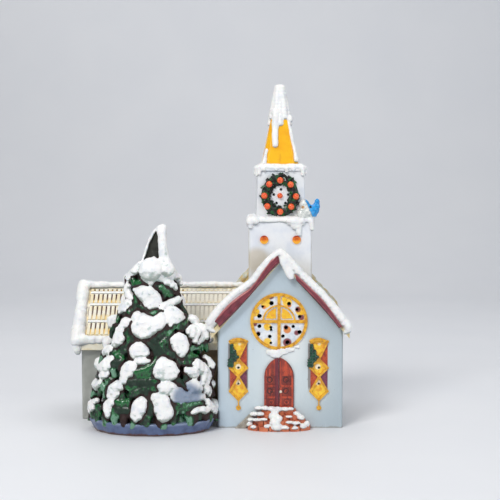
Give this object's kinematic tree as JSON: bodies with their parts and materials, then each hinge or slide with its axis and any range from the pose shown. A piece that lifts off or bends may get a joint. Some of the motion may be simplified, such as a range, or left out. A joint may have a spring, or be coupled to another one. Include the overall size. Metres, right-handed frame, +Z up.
{
  "type": "ceramic christmas village church",
  "caption": "Glazed ceramic village church with steeple, side wing, snow and an attached fir, lit from inside by a clip-in lamp.",
  "frame": {"origin": "on the resting plane, under the axis of the tower and spire", "axes": "+X to the right along the facade, +Y from the facade to the back wall, +Z up the spire"},
  "size_m": [0.1796, 0.1113, 0.2131],
  "materials": {
    "white_glaze": "clear gloss over white slip",
    "grey_glaze": "clear gloss over pale grey slip",
    "roof_glaze": "mustard glaze under clear gloss",
    "cream_glaze": "cream and yellow glaze under clear gloss",
    "maroon_glaze": "maroon glaze under clear gloss",
    "snow_glaze": "thick white snow glaze",
    "yellow_glaze": "golden yellow glaze",
    "gold_glaze": "gold yellow glaze on raised lines",
    "amber_glaze": "amber yellow glaze",
    "green_glaze": "deep green glaze",
    "red_glaze": "orange red glaze",
    "plum_glaze": "plum glaze",
    "orange_glaze": "orange glaze",
    "door_glaze": "red brown glaze",
    "brick_glaze": "orange brown glaze",
    "blue_glaze": "sky blue glaze",
    "bough_glaze": "green and brown glaze",
    "rim_glaze": "pale blue grey glaze",
    "socket_plastic": "moulded ivory plastic",
    "brass": "rolled brass",
    "spring_steel": "tempered steel strip",
    "contact_metal": "tinned contact",
    "black_glass": "black glass insulator",
    "bulb_glass": "clear glass"
  },
  "bodies": {
    "church": {"front_block": "white_glaze", "wing": "grey_glaze", "block_roof_left": "roof_glaze", "block_roof_right": "roof_glaze", "wing_roof_front": "cream_glaze", "wing_roof_back": "cream_glaze", "rake_board_left": "maroon_glaze", "rake_board_right": "maroon_glaze", "block_snow": "snow_glaze", "wing_snow": "snow_glaze", "course_snow": "snow_glaze", "tower": "white_glaze", "tower_roundels": "orange_glaze", "tower_snow": "snow_glaze", "belfry": "white_glaze", "cornice": "grey_glaze", "cornice_snow": "snow_glaze", "spire": "yellow_glaze", "spire_snow": "snow_glaze", "wreath": "green_glaze", "wreath_berries": "orange_glaze", "bird_body": "snow_glaze", "bird_back": "blue_glaze", "bird_beak": "yellow_glaze", "rose_panes": "white_glaze", "rose_amber": "amber_glaze", "rose_tracery": "gold_glaze", "window_leading": "gold_glaze", "window_amber": "amber_glaze", "window_green": "green_glaze", "window_red": "red_glaze", "window_plum": "plum_glaze", "door_left": "door_glaze", "door_right": "door_glaze", "door_knob": "snow_glaze", "door_snow": "snow_glaze", "steps": "brick_glaze", "steps_kerb": "grey_glaze", "steps_snow": "snow_glaze", "fir_base": "rim_glaze", "fir": "bough_glaze", "fir_snow": "snow_glaze"},
    "lamp": {"socket_body": "socket_plastic", "socket_shell": "brass", "socket_contact": "contact_metal", "socket_springs": "spring_steel"},
    "bulb": {"bulb_contact": "contact_metal", "bulb_cap": "brass", "bulb_insulator": "black_glass", "bulb_glass": "bulb_glass", "bulb_stem": "bulb_glass", "bulb_filament": "spring_steel"}
  },
  "joints": [
    {"name": "lamp_slide", "type": "slide", "parent": "church", "child": "lamp", "axis": [0, 1, 0], "range_m": [0, 0.07]},
    {"name": "bulb_turn", "type": "hinge", "parent": "lamp", "child": "bulb", "pos_m": [0, 0.02685, 0.022], "axis": [0, -1, 0], "range_deg": [0, 1800]}
  ]
}
